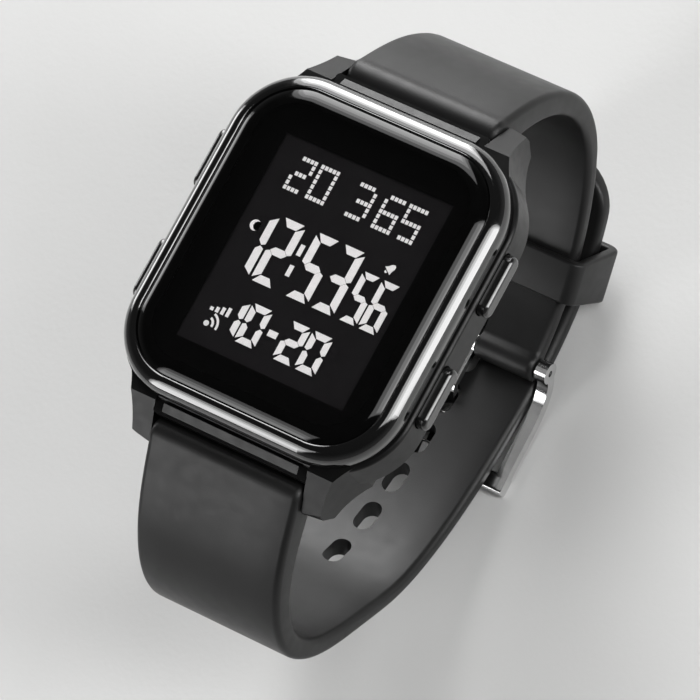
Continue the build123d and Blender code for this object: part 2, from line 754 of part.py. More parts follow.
with BuildPart() as buckle_frame:
    for side in (1, -1):
        with BuildSketch(Plane.YZ.offset(side * arm_inside)):
            with Locations((hinge_y, hinge_z)):
                Circle(arm_end_radius)
            with Locations((rail_y, rail_z)):
                Circle(rail_height / 2)
            with BuildLine():
                Spline((hinge_y, hinge_z), (hinge_y - arm_neck_back, hinge_z - arm_neck_drop),
                       (hinge_y - arm_belly_back, hinge_z - arm_belly_drop), (rail_y, rail_z))
            trace(line_width=arm_height)
        extrude(amount=side * arm_width)
    with BuildSketch(Plane.YZ):
        with Locations((rail_y, rail_z)):
            RectangleRounded(rail_length, rail_height, rail_round)
    extrude(amount=arm_inside + arm_width, both=True)
    with BuildSketch(Plane.YZ):
        with Locations((rail_y, rail_bottom)):
            Rectangle(2 * rail_length, 2 * notch_depth)
    extrude(amount=notch_width / 2, both=True, mode=Mode.SUBTRACT)
    with BuildSketch(Plane.YZ):
        with Locations((hinge_y, hinge_z)):
            Circle(bar_tip_radius + running_gap)
    extrude(amount=strap_width, both=True, mode=Mode.SUBTRACT)
save(buckle_frame.part, "buckle_frame")

with BuildPart() as buckle_tongue:
    with BuildSketch(Plane.YZ):
        with BuildLine():
            FilletPolyline((hinge_y, hinge_z), (hinge_y - tongue_shoulder, hinge_z),
                           (hinge_y - tongue_heel, tongue_bed), (rail_y - rail_length / 2, tongue_bed),
                           radius=tongue_bend)
        trace(line_width=tongue_thickness)
        with Locations((hinge_y, hinge_z)):
            Circle(arm_end_radius)
            Circle(bar_radius + running_gap, mode=Mode.SUBTRACT)
    extrude(amount=tongue_width / 2, both=True)
save(buckle_tongue.part, "buckle_tongue")

# Keeper that slides round the doubled strap
with BuildPart() as strap_keeper:
    start = keeper_angle - keeper_spread / 2
    middle_radius = (keeper_inner_radius + keeper_outer_radius) / 2
    with BuildSketch(Plane(origin=(0, *around(start, middle_radius)), x_dir=(1, 0, 0),
                           z_dir=(0, cos(radians(start)), sin(radians(start))))):
        RectangleRounded(2 * keeper_half_width, keeper_outer_radius - keeper_inner_radius, keeper_round)
        RectangleRounded(2 * (keeper_half_width - keeper_wall),
                         keeper_outer_radius - keeper_inner_radius - 2 * keeper_wall,
                         keeper_round / 2, mode=Mode.SUBTRACT)
    revolve(axis=Axis((0, loop_y, loop_z), (1, 0, 0)), revolution_arc=keeper_spread)
save(strap_keeper.part, "strap_keeper")
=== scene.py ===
from math import asin, cos, degrees, pi, radians, sin, sqrt, tan

import bmesh
import bpy
import numpy as np
from mathutils import Matrix, Vector


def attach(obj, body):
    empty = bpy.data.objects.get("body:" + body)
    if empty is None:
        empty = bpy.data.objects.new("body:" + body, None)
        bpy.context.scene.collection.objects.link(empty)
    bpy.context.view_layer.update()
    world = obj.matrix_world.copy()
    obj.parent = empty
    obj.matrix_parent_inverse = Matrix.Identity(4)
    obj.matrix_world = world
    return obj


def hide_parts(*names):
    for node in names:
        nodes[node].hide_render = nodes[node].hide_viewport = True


# Looks of a buckled digital wristwatch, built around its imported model.
# Sizes are in millimetres and are scaled to metres where a mesh, a texture or a lamp is made.
mm = 0.001
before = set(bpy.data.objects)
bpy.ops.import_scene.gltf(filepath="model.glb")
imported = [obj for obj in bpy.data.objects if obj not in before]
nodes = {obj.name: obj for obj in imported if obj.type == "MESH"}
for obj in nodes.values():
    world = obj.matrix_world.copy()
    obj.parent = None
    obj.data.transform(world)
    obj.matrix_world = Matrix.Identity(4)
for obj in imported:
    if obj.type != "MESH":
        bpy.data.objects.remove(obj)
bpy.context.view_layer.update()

# Straps: the bars in the lugs, the round part of the loop and both routes. A route starts with steps
# out from its bar, each at a height, and goes on by angles round the loop.
bar_y = 25.2
bar_z = 4.4
loop_y = 4.5
loop_z = -7.6
inner_radius = 34.8
end_thickness = 2.4
end_width = 20.0
root_thickness = 4.5
root_width = 22.0
edge_round = 0.85
short_route = [(5.8, -1.3), (10.0, -8.3), (11.5, -16.2)]
short_turn_angles = [60.0, 47.0, 34.0, 21.0, 8.5]
long_route = [(9.4, -3.2), (13.3, -9.6), (14.3, -14.8), (12.7, -21.6), (5.8, -30.7), (-0.2, -36.6)]
long_turn_angles = [-35.6, -18.0, -5.0, 8.5, 20.0, 31.0, 43.0, 50.0]
long_rise_shares = [2.17, 1.26, 1.08, 1.44, 1.83, 2.15, 2.33, 2.5]

# Along a strap: where its section changes, and what is left there of the root's extra size
short_shares = [0.0, 0.22, 0.55, 1.0]
long_shares = [0.0, 0.12, 0.4, 1.0]
extra_width_shares = [1.0, 0.6, 0.0, 0.0]
extra_thickness_shares = [1.0, 0.48, 0.0, 0.0]

# Ends of the straps: the nose on the lug's bar, the eye on the buckle's bar and the round tail
nose_radius = 2.35
nose_first_angle = 8.0
nose_side_round = 1.2
hinge_eye_radius = 1.9
tail_round = 7.0
tail_tip_share = 0.55
tail_tip_run = 1.0

# Openings of the straps: the tongue's slot and the adjusting holes
tongue_slot_width = 3.0
tongue_slot_reach = 3.2
tongue_slot_shift = 0.3
hole_angle = -4.6
hole_step = 10.0
hole_first = -4
hole_last = 4
hole_length = 4.6
hole_width = 2.6
hole_cut_shares = (-1.0, 5.0)

# Fineness of the skins
strap_samples = 150
curve_oversampling = 8
corner_steps = 5
flat_steps = 6
nose_steps = 8
hole_steps = 10
section_margin = 0.01
crease_angle = 38.0
sliver = 0.002

# Keeper
keeper_angle = 29.0
keeper_spread = 10.0
keeper_wall = 1.4
keeper_side_gap = 0.5
keeper_slack = 0.45
keeper_corner = 1.7
keeper_inner_gap = 0.15
keeper_edge_round = 0.4

# Crystal: its outline, its rolled border and the flat strips that keep its shading true
lens_top = 12.4
lens_base = 10.41
lens_half_width = 17.5
lens_half_length = 19.9
lens_corner = 7.5
lens_edge_width = 1.9
lens_edge_radius = 3.0
lens_corner_steps = 28
lens_edge_steps = 12
lens_flat_strip = 0.3
lens_seam = 0.02
lens_lip = 0.15
lens_undercut = 1.6

# Display: everything on it lies just over the panel
ink_base = 10.15
ink_height = 0.06

# Corners of a rounded outline, anticlockwise: the side where each lies and the angle where it starts
quarters = ((1, 1, 0), (-1, 1, 90), (-1, -1, 180), (1, -1, 270))


# Pieces

def placed(name, shape, material, body, smooth_angle=None):
    """Turn a finished bmesh into a piece that rides on a body."""
    mesh = bpy.data.meshes.new(name)
    shape.to_mesh(mesh)
    shape.free()
    piece = bpy.data.objects.new(name, mesh)
    bpy.context.scene.collection.objects.link(piece)
    mesh.materials.append(material)
    if smooth_angle is not None:
        mesh.shade_smooth()
        mesh.set_sharp_from_angle(angle=radians(smooth_angle))
    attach(piece, body)
    return piece


def quarter_turn(start, steps):
    """Angles of one rounded corner, in radians."""
    return [radians(start + 90 * step / steps) for step in range(steps + 1)]


def skinned(tubes, hooped=False):
    """Closed skins in one shape, each over a tube's rings of equal count, in millimetres.

    A tube is capped at both ends, or comes round to its first ring where it is hooped.
    """
    shape = bmesh.new()
    for rings in tubes:
        rows = [[shape.verts.new(Vector(p) * mm) for p in ring] for ring in rings]
        count = len(rows[0])
        for row, following in zip(rows, rows[1:] + rows[:1] if hooped else rows[1:]):
            for i in range(count):
                j = (i + 1) % count
                shape.faces.new((row[i], row[j], following[j], following[i]))
        if not hooped:
            shape.faces.new(rows[0])
            shape.faces.new(list(reversed(rows[-1])))
    bmesh.ops.recalc_face_normals(shape, faces=shape.faces)
    return shape


def cut(piece, cutter_shape):
    """Take a cutter's shape out of a piece, once, and clear the slivers that this leaves."""
    mesh = bpy.data.meshes.new("cutter")
    cutter_shape.to_mesh(mesh)
    cutter_shape.free()
    cutter = bpy.data.objects.new("cutter", mesh)
    bpy.context.scene.collection.objects.link(cutter)
    modifier = piece.modifiers.new("cut", "BOOLEAN")
    modifier.object = cutter
    modifier.operation = "DIFFERENCE"
    modifier.solver = "EXACT"
    bpy.context.view_layer.update()
    graph = bpy.context.evaluated_depsgraph_get()
    result = bpy.data.meshes.new_from_object(piece.evaluated_get(graph))
    piece.modifiers.clear()
    old = piece.data
    piece.data = result
    bpy.data.meshes.remove(old)
    bpy.data.objects.remove(cutter)
    skin = bmesh.new()
    skin.from_mesh(piece.data)
    bmesh.ops.triangulate(skin, faces=[face for face in skin.faces if len(face.verts) > 4])
    bmesh.ops.dissolve_degenerate(skin, dist=sliver * mm, edges=skin.edges)
    skin.to_mesh(piece.data)
    skin.free()
    piece.data.shade_smooth()
    piece.data.set_sharp_from_angle(angle=radians(crease_angle))


# Materials: most values of a noise lie between noise_low and noise_high

noise_low = 0.32
noise_high = 0.68
even = (1, 1, 1)
lengthwise = (30, 1, 1)
coat_roughness = 0.04
rough_fineness = 3


def noise(tree, cell, stretch, detail=3.0):
    """Noise with patches about one cell wide, in millimetres, over the object's own coordinates."""
    place = tree.nodes.new("ShaderNodeTexCoord")
    mapping = tree.nodes.new("ShaderNodeMapping")
    mapping.inputs["Scale"].default_value = [1 / (cell * mm * s) for s in stretch]
    texture = tree.nodes.new("ShaderNodeTexNoise")
    texture.inputs["Scale"].default_value = 1.0
    texture.inputs["Detail"].default_value = detail
    tree.links.new(place.outputs["Object"], mapping.inputs["Vector"])
    tree.links.new(mapping.outputs["Vector"], texture.inputs["Vector"])
    return texture.outputs["Fac"]


def ranged(tree, source, low, high):
    """The middle of a noise's range, spread from low to high."""
    node = tree.nodes.new("ShaderNodeMapRange")
    node.inputs["From Min"].default_value = noise_low
    node.inputs["From Max"].default_value = noise_high
    node.inputs["To Min"].default_value = low
    node.inputs["To Max"].default_value = high
    tree.links.new(source, node.inputs["Value"])
    return node.outputs["Result"]


def toned(tree, source, first, second):
    """A colour that runs from the first tone to the second with a noise."""
    ramp = tree.nodes.new("ShaderNodeValToRGB")
    low, high = ramp.color_ramp.elements
    low.position, high.position = noise_low, noise_high
    low.color, high.color = (*first, 1), (*second, 1)
    tree.links.new(source, ramp.inputs["Fac"])
    return ramp.outputs["Color"]


def relief(tree, source, depth):
    """Bump of a depth in millimetres."""
    bump = tree.nodes.new("ShaderNodeBump")
    bump.inputs["Strength"].default_value = 1.0
    bump.inputs["Distance"].default_value = depth * mm
    tree.links.new(source, bump.inputs["Height"])
    return bump.outputs["Normal"]


def finish(name, first, second, patch, rough, grain, depth, metallic=0.0, coat=0.0, stretch=even,
           mirror=0.5):
    """A solid finish: near tones in soft patches, uneven roughness and a fine relief."""
    material = bpy.data.materials.new(name)
    material.use_nodes = True
    tree = material.node_tree
    shader = tree.nodes["Principled BSDF"]
    shader.inputs["Metallic"].default_value = metallic
    shader.inputs["Specular IOR Level"].default_value = mirror
    shader.inputs["Coat Weight"].default_value = coat
    shader.inputs["Coat Roughness"].default_value = coat_roughness
    tones = toned(tree, noise(tree, patch, stretch), first, second)
    roughness = ranged(tree, noise(tree, patch / rough_fineness, stretch), *rough)
    tree.links.new(tones, shader.inputs["Base Color"])
    tree.links.new(roughness, shader.inputs["Roughness"])
    tree.links.new(relief(tree, noise(tree, grain, stretch), depth), shader.inputs["Normal"])
    return material


def grey(level):
    """A tone without colour."""
    return (level, level, level)


silicone = finish("silicone", grey(0.008), grey(0.010), patch=5.0, rough=(0.38, 0.43), grain=0.11,
                  depth=0.012, mirror=0.27)
satin = finish("satin_resin", grey(0.004), grey(0.006), patch=4.0, rough=(0.28, 0.36), grain=0.08,
               depth=0.003, mirror=0.22)
gloss = finish("gloss_resin", grey(0.0025), grey(0.004), patch=9.0, rough=(0.07, 0.11), grain=3.0,
               depth=0.002, coat=1.0)
button_gloss = finish("button_resin", grey(0.006), grey(0.009), patch=3.0, rough=(0.14, 0.22), grain=0.5,
                      depth=0.001, coat=0.5)
black_print = finish("black_print", grey(0.001), grey(0.0014), patch=2.0, rough=(0.5, 0.6), grain=0.1,
                     depth=0.002, mirror=0.0)
black_glass = finish("black_glass", grey(0.001), grey(0.0014), patch=2.0, rough=(0.05, 0.08), grain=12.0,
                     depth=0.0004, mirror=0.275)
display = finish("display_film", (0.0088, 0.0082, 0.0088), (0.0102, 0.0096, 0.0102), patch=6.0,
                 rough=(0.5, 0.6), grain=0.15, depth=0.001, mirror=0.0)
ink = finish("display_ink", (0.76, 0.74, 0.74), (0.82, 0.80, 0.80), patch=0.6, rough=(0.45, 0.55),
             grain=0.1, depth=0.001)
polished_steel = finish("polished_steel", grey(0.60), grey(0.68), patch=2.0, rough=(0.08, 0.16),
                        grain=0.05, depth=0.0006, metallic=1.0, stretch=lengthwise)
brushed_steel = finish("brushed_steel", grey(0.5), grey(0.6), patch=1.0, rough=(0.24, 0.38), grain=0.06,
                       depth=0.003, metallic=1.0, stretch=lengthwise)
turned_steel = finish("turned_steel", grey(0.5), grey(0.6), patch=1.0, rough=(0.2, 0.3), grain=0.05,
                      depth=0.001, metallic=1.0)
brass = finish("rolled_brass", (0.66, 0.48, 0.2), (0.74, 0.55, 0.26), patch=1.5, rough=(0.25, 0.36),
               grain=0.06, depth=0.001, metallic=1.0)
drawn_can = finish("drawn_can", grey(0.62), grey(0.7), patch=1.0, rough=(0.22, 0.32), grain=0.05,
                   depth=0.001, metallic=1.0)
white_resin = finish("white_resin", (0.66, 0.66, 0.63), (0.72, 0.72, 0.69), patch=3.0, rough=(0.4, 0.5),
                     grain=0.1, depth=0.003)
light_guide = finish("light_guide", (0.74, 0.78, 0.8), (0.8, 0.83, 0.85), patch=3.0, rough=(0.25, 0.35),
                     grain=0.2, depth=0.002)
board_lacquer = finish("board_lacquer", (0.015, 0.11, 0.045), (0.03, 0.17, 0.075), patch=0.8,
                       rough=(0.2, 0.32), grain=0.3, depth=0.01)
chip_resin = finish("chip_resin", grey(0.006), grey(0.011), patch=1.5, rough=(0.15, 0.28), grain=0.8,
                    depth=0.02)
lens_seal = finish("lens_seal", grey(0.0015), grey(0.002), patch=1.0, rough=(0.5, 0.6), grain=0.08,
                   depth=0.002, mirror=0.0)
seal_rubber = finish("seal_rubber", grey(0.012), grey(0.02), patch=1.0, rough=(0.5, 0.65), grain=0.08,
                     depth=0.004)
zebra_rubber = finish("layered_rubber", (0.05, 0.05, 0.05), (0.62, 0.5, 0.42), patch=0.12,
                      rough=(0.5, 0.6), grain=0.1, depth=0.002)

# Crystal's material: how it mirrors by angle, only in a thin skin at its top, and its slight unevenness
crystal_mirror = 0.04
crystal_skin = 0.05
facing_blend = 0.5
glance_power = 5.0
crystal_clarity = 0.97
crystal_smear = 8.0
crystal_rough = (0.05, 0.08)
crystal_wave = 12.0
crystal_wave_depth = 0.0004


def computed(tree, operation, *terms):
    """The result of one sum, whose terms are sockets or plain numbers."""
    node = tree.nodes.new("ShaderNodeMath")
    node.operation = operation
    for socket, term in zip(node.inputs, terms):
        if isinstance(term, float):
            socket.default_value = term
        else:
            tree.links.new(term, socket)
    return node.outputs["Value"]


def crystal_finish():
    """Clear crystal: it lets the display through, and its top mirrors the room by its angle to it."""
    material = bpy.data.materials.new("crystal")
    material.use_nodes = True
    tree = material.node_tree
    tree.nodes.clear()
    facing = tree.nodes.new("ShaderNodeLayerWeight")
    facing.inputs["Blend"].default_value = facing_blend
    steep = computed(tree, "POWER", facing.outputs["Facing"], glance_power)
    glance = computed(tree, "MULTIPLY_ADD", steep, 1 - crystal_mirror, crystal_mirror)
    place = tree.nodes.new("ShaderNodeTexCoord")
    split = tree.nodes.new("ShaderNodeSeparateXYZ")
    tree.links.new(place.outputs["Object"], split.inputs["Vector"])
    outside = computed(tree, "GREATER_THAN", split.outputs["Z"], (lens_top - crystal_skin) * mm)
    clear = tree.nodes.new("ShaderNodeBsdfTransparent")
    clear.inputs["Color"].default_value = (*grey(crystal_clarity), 1)
    mirror = tree.nodes.new("ShaderNodeBsdfGlossy")
    mirror.inputs["Color"].default_value = (1, 1, 1, 1)
    smear = ranged(tree, noise(tree, crystal_smear, even), *crystal_rough)
    waves = relief(tree, noise(tree, crystal_wave, even, detail=0.0), crystal_wave_depth)
    tree.links.new(smear, mirror.inputs["Roughness"])
    tree.links.new(waves, mirror.inputs["Normal"])
    mix = tree.nodes.new("ShaderNodeMixShader")
    tree.links.new(computed(tree, "MULTIPLY", glance, outside), mix.inputs["Fac"])
    tree.links.new(clear.outputs["BSDF"], mix.inputs[1])
    tree.links.new(mirror.outputs["BSDF"], mix.inputs[2])
    output = tree.nodes.new("ShaderNodeOutputMaterial")
    tree.links.new(mix.outputs["Shader"], output.inputs["Surface"])
    return material


crystal = crystal_finish()

for names, material in (
    (("bezel_ring",), gloss),
    (("lens",), crystal),
    (("lens_mask",), black_print),
    (("lcd_panel",), display),
    (("case_middle",), satin),
    (("case_back",), brushed_steel),
    (("button_upper_right", "button_lower_right", "button_upper_left", "button_lower_left"), button_gloss),
    (("clip_upper_right", "clip_lower_right", "clip_upper_left", "clip_lower_left"), turned_steel),
    (("back_screws", "module_screws", "lug_spring_bars", "buckle_spring_bar"), turned_steel),
    (("battery_clip", "button_contacts", "buzzer_spring"), turned_steel),
    (("buckle_frame", "buckle_tongue"), polished_steel),
    (("module_frame",), white_resin),
    (("backlight_panel",), light_guide),
    (("circuit_board",), board_lacquer),
    (("clock_chip",), chip_resin),
    (("quartz_can", "coin_cell"), drawn_can),
    (("buzzer_disc",), brass),
    (("zebra_strips",), zebra_rubber),
    (("lens_gasket",), lens_seal),
    (("back_gasket", "button_seals"), seal_rubber),
    (("strap_6", "strap_12", "strap_keeper"), silicone),
):
    for name in names:
        nodes[name].data.materials.clear()
        nodes[name].data.materials.append(material)


# Straps

def around(angle, radius):
    """Point of the round part of the loop, counted from straight down towards 12 o'clock."""
    return (loop_y + radius * sin(radians(angle)), loop_z - radius * cos(radians(angle)))


def smooth_line(points, count):
    """Evenly spaced samples of the smooth curve through some points, with its distances."""
    points = np.array(points, float)
    knots = np.concatenate([[0], np.cumsum(np.linalg.norm(np.diff(points, axis=0), axis=1))])
    steps = np.diff(knots)
    slopes = np.diff(points, axis=0) / steps[:, None]
    system = np.eye(len(points))
    target = np.zeros_like(points)
    for i in range(1, len(points) - 1):
        system[i, i - 1:i + 2] = steps[i - 1], 2 * (steps[i - 1] + steps[i]), steps[i]
        target[i] = 6 * (slopes[i] - slopes[i - 1])
    bends = np.linalg.solve(system, target)
    places = np.linspace(0, knots[-1], curve_oversampling * count)
    spans = np.clip(np.searchsorted(knots, places, side="right") - 1, 0, len(steps) - 1)
    after = (places - knots[spans])[:, None]
    before = (knots[spans + 1] - places)[:, None]
    step = steps[spans][:, None]
    fine = (bends[spans] * before ** 3 + bends[spans + 1] * after ** 3) / (6 * step)
    fine += (points[spans] / step - bends[spans] * step / 6) * before
    fine += (points[spans + 1] / step - bends[spans + 1] * step / 6) * after
    lengths = np.concatenate([[0], np.cumsum(np.linalg.norm(np.diff(fine, axis=0), axis=1))])
    even_lengths = np.linspace(0, lengths[-1], count)
    line = np.stack([np.interp(even_lengths, lengths, fine[:, k]) for k in range(2)], axis=1)
    return line, even_lengths


def strap_ring(width, thickness, corner):
    """Rounded cross section of a strap, as points across and out."""
    corner = min(corner, thickness / 2 - section_margin, width / 2 - section_margin)
    ring = []
    for side_x, side_t, start in quarters:
        centre_x = side_x * (width / 2 - corner)
        centre_t = side_t * (thickness / 2 - corner)
        for a in quarter_turn(start, corner_steps):
            ring.append((centre_x + corner * cos(a), centre_t + corner * sin(a)))
        if start in (0, 180):
            for step in range(1, flat_steps):
                across = centre_x * (1 - 2 * step / flat_steps)
                ring.append((across, side_t * thickness / 2))
    return ring


def strap_mesh(points, shares, end_eye=False, tail=False):
    """Skin of a strap along its route, with a round nose on its spring bar."""
    line, lengths = smooth_line(points, strap_samples)
    tangents = np.gradient(line, axis=0)
    tangents /= np.linalg.norm(tangents, axis=1)[:, None]
    total = lengths[-1]
    rings = []

    def add_ring(place, tangent, width, thickness):
        out = (-tangent[1], tangent[0])
        rings.append([(x, place[0] + out[0] * t, place[1] + out[1] * t)
                      for x, t in strap_ring(width, thickness, edge_round)])

    for step in range(nose_steps):
        a = radians(nose_first_angle + (90 - nose_first_angle) * step / nose_steps)
        back = line[0] - tangents[0] * nose_radius * cos(a)
        add_ring(back, tangents[0], root_width - nose_side_round * (1 - sin(a)), 2 * nose_radius * sin(a))
    for place, tangent, length in zip(line, tangents, lengths):
        share = length / total
        width = end_width + (root_width - end_width) * np.interp(share, shares, extra_width_shares)
        thickness = end_thickness + (root_thickness - end_thickness) * np.interp(
            share, shares, extra_thickness_shares)
        left = total - length
        if length < nose_radius:
            thickness = max(thickness, 2 * nose_radius * sqrt(max(0, 1 - (length / nose_radius) ** 2)))
        if end_eye and left < hinge_eye_radius:
            thickness = max(thickness, 2 * sqrt(max(0, hinge_eye_radius ** 2 - left ** 2)))
        if tail and left < tail_round:
            width = end_width - 2 * (tail_round - sqrt(max(0, tail_round ** 2 - (tail_round - left) ** 2)))
            thickness *= tail_tip_share + (1 - tail_tip_share) * sqrt(min(1, left / tail_tip_run))
        add_ring(place, tangent, width, thickness)
    if end_eye:
        for step in range(1, nose_steps):
            a = radians(90 * step / nose_steps)
            ahead = line[-1] + tangents[-1] * hinge_eye_radius * sin(a)
            add_ring(ahead, tangents[-1], end_width, 2 * hinge_eye_radius * cos(a))
    return skinned([rings])


def slot_cutter():
    """The tongue's slot, as a box across the short strap's end."""
    y, z = around(short_turn_angles[-1], inner_radius)
    size = Vector((tongue_slot_width, 2 * tongue_slot_reach, 2 * tongue_slot_reach)) * mm
    place = Vector((0, y - tongue_slot_shift, z)) * mm
    shape = bmesh.new()
    bmesh.ops.create_cube(shape, size=1, matrix=Matrix.LocRotScale(place, None, size))
    return shape


def hole_cutters():
    """The adjusting holes, as round-ended pegs square to the loop."""
    pegs = []
    for step in range(hole_first, hole_last + 1):
        angle = hole_angle + step * hole_step
        peg = []
        for share in hole_cut_shares:
            y, z = around(angle, inner_radius + share * end_thickness)
            ring = []
            for end in (1, -1):
                for k in range(hole_steps + 1):
                    a = radians(180 * k / hole_steps) + (0 if end > 0 else pi)
                    across = hole_width / 2 * cos(a)
                    along = end * (hole_length - hole_width) / 2 + hole_width / 2 * sin(a)
                    ring.append((across, y + along * cos(radians(angle)), z + along * sin(radians(angle))))
            peg.append(ring)
        pegs.append(peg)
    return skinned(pegs)


short_points = [(bar_y, bar_z), *[(bar_y + out, height) for out, height in short_route],
                *[around(angle, inner_radius) for angle in short_turn_angles]]
long_points = [(-bar_y, bar_z), *[(-bar_y - out, height) for out, height in long_route],
               *[around(angle, inner_radius + share * end_thickness)
                 for angle, share in zip(long_turn_angles, long_rise_shares)]]

short_strap = placed("short_strap", strap_mesh(short_points, short_shares, end_eye=True),
                     silicone, "watch", crease_angle)
cut(short_strap, slot_cutter())
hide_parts("strap_12")

long_strap = placed("long_strap", strap_mesh(long_points, long_shares, tail=True),
                    silicone, "watch", crease_angle)
cut(long_strap, hole_cutters())
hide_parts("strap_6")


# Keeper

def loop_outline(half_width, half_height, corner):
    """Rounded outline with its outward directions."""
    points = []
    for side_x, side_t, start in quarters:
        for a in quarter_turn(start, corner_steps):
            points.append((side_x * (half_width - corner) + corner * cos(a),
                           side_t * (half_height - corner) + corner * sin(a), cos(a), sin(a)))
    return points


def keeper_mesh():
    """A band round the doubled strap, with soft edges."""
    inner = inner_radius - end_thickness / 2 - keeper_inner_gap - keeper_wall
    outer = inner_radius + (long_rise_shares[-2] + 0.5) * end_thickness + keeper_slack + keeper_wall
    middle = (inner + outer) / 2
    half_width = end_width / 2 + keeper_side_gap + keeper_wall
    path = loop_outline(half_width, (outer - inner) / 2, keeper_corner)
    half_run = radians(keeper_spread / 2)
    profile = []
    for side_u, side_w, start in quarters:
        for a in quarter_turn(start, corner_steps):
            run = side_u * (half_run * middle - keeper_edge_round) + keeper_edge_round * cos(a)
            sunk = keeper_wall - 2 * keeper_edge_round if side_w < 0 else 0
            profile.append((run / middle, keeper_edge_round * (sin(a) - 1) - sunk))
    rings = []
    for x, t, out_x, out_t in path:
        ring = []
        for turn, depth in profile:
            y, z = around(keeper_angle + degrees(turn), middle + t + out_t * depth)
            ring.append((x + out_x * depth, y, z))
        rings.append(ring)
    return skinned([rings], hooped=True)


keeper = placed("keeper_band", keeper_mesh(), silicone, "keeper", crease_angle)
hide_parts("strap_keeper")


# Crystal: its rolled border is black from behind, so it is a solid ring of its own round the clear window

border_width = lens_edge_width + lens_flat_strip


def lens_ring(inset, z):
    """Outline of the crystal at an inset, with a short flat run at both ends of every corner."""
    corner = lens_corner - inset
    ring = []
    for side_x, side_y, start in quarters:
        centre_x = side_x * (lens_half_width - lens_corner)
        centre_y = side_y * (lens_half_length - lens_corner)
        turns = quarter_turn(start, lens_corner_steps)
        runs = [-lens_flat_strip, *[0] * len(turns), lens_flat_strip]
        for run, a in zip(runs, [turns[0], *turns, turns[-1]]):
            ring.append((centre_x + corner * cos(a) - run * sin(a),
                         centre_y + corner * sin(a) + run * cos(a), z))
    return ring


def border_mesh():
    """The border: up its outer wall, over its round edge and down its undercut inner wall."""
    rings = [lens_ring(0, lens_base)]
    for step in range(lens_edge_steps, -1, -1):
        a = asin(lens_edge_width / lens_edge_radius) * step / lens_edge_steps
        rings.append(lens_ring(lens_edge_width - lens_edge_radius * sin(a),
                               lens_top - lens_edge_radius * (1 - cos(a))))
    rings.append(lens_ring(border_width, lens_top))
    rings.append(lens_ring(border_width, lens_top - lens_lip))
    rings.append(lens_ring(border_width - lens_undercut, lens_base))
    return skinned([rings], hooped=True)


window_rings = [lens_ring(border_width + lens_seam, z) for z in (lens_base, lens_top)]
placed("crystal_border", border_mesh(), black_glass, "watch", crease_angle)
crystal_window = placed("crystal_window", skinned([window_rings]), crystal, "watch", crease_angle)
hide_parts("lens")


# Figures of the display, in bars

figure_gap = 0.14
notch_share = 0.3
segments_of = {"0": "abcdef", "1": "bc", "2": "abged", "3": "abgcd", "5": "afgcd", "6": "afgedc"}

# Rows of figures: each figure with the left and right ends of its cell
time_figures = [("1", -9.9, -7.5), ("2", -7.1, -3.75), ("5", -2.1, 1.25), ("3", 1.65, 5.0)]
time_bottom, time_top, time_bar = -4.5, 4.25, 1.02
second_figures = [("5", 5.75, 8.3), ("6", 8.55, 11.2)]
second_bottom, second_top, second_bar = -4.45, 2.2, 0.8
date_figures = [("1", -8.3, -5.35), ("0", -5.1, -2.15), ("2", 0.5, 3.4), ("0", 3.7, 6.65)]
date_bottom, date_top, date_bar = -12.2, -6.95, 0.85
colon_sides = (-3.25, -2.65)
colon_rows = [(0.55, 2.05), (-2.3, -0.8)]
dash_sides = (-1.5, -0.2)
dash_rows = (-9.95, -9.1)


def inked(name, outlines):
    """Flat marks of ink over the display, from their outlines in plan."""
    levels = (ink_base, ink_base + ink_height)
    slabs = [[[(x, y, z) for x, y in outline] for z in levels] for outline in outlines]
    placed(name, skinned(slabs), ink, "watch")


def block(left, right, bottom, top):
    """Outline of an upright rectangle."""
    return [(left, bottom), (right, bottom), (right, top), (left, top)]


def figure(digit, left, right, bottom, top, bar):
    """Outlines of one seven-bar figure inside its cell."""
    middle = (bottom + top) / 2
    half = bar / 2
    gap = figure_gap
    notch = notch_share * bar
    shapes = {
        "a": [(left + notch, top), (right - notch, top), (right - bar, top - bar), (left + bar, top - bar)],
        "d": [(left + notch, bottom), (right - notch, bottom), (right - bar, bottom + bar),
              (left + bar, bottom + bar)],
        "g": [(left + half, middle), (left + bar, middle + half), (right - bar, middle + half),
              (right - half, middle), (right - bar, middle - half), (left + bar, middle - half)],
        "b": [(right, top - notch - gap), (right, middle + notch), (right - half, middle + gap / 2),
              (right - bar, middle + half + gap / 2), (right - bar, top - bar - gap)],
        "c": [(right, bottom + notch + gap), (right, middle - notch), (right - half, middle - gap / 2),
              (right - bar, middle - half - gap / 2), (right - bar, bottom + bar + gap)],
        "f": [(left, top - notch - gap), (left, middle + notch), (left + half, middle + gap / 2),
              (left + bar, middle + half + gap / 2), (left + bar, top - bar - gap)],
        "e": [(left, bottom + notch + gap), (left, middle - notch), (left + half, middle - gap / 2),
              (left + bar, middle - half - gap / 2), (left + bar, bottom + bar + gap)],
    }
    return [shapes[letter] for letter in segments_of[digit]]


outlines = []
for row, low, high, bar in ((time_figures, time_bottom, time_top, time_bar),
                            (second_figures, second_bottom, second_top, second_bar),
                            (date_figures, date_bottom, date_top, date_bar)):
    for digit, left, right in row:
        outlines += figure(digit, left, right, low, high, bar)
outlines += [block(*colon_sides, *rows) for rows in colon_rows]
outlines.append(block(*dash_sides, *dash_rows))
inked("display_figures", outlines)

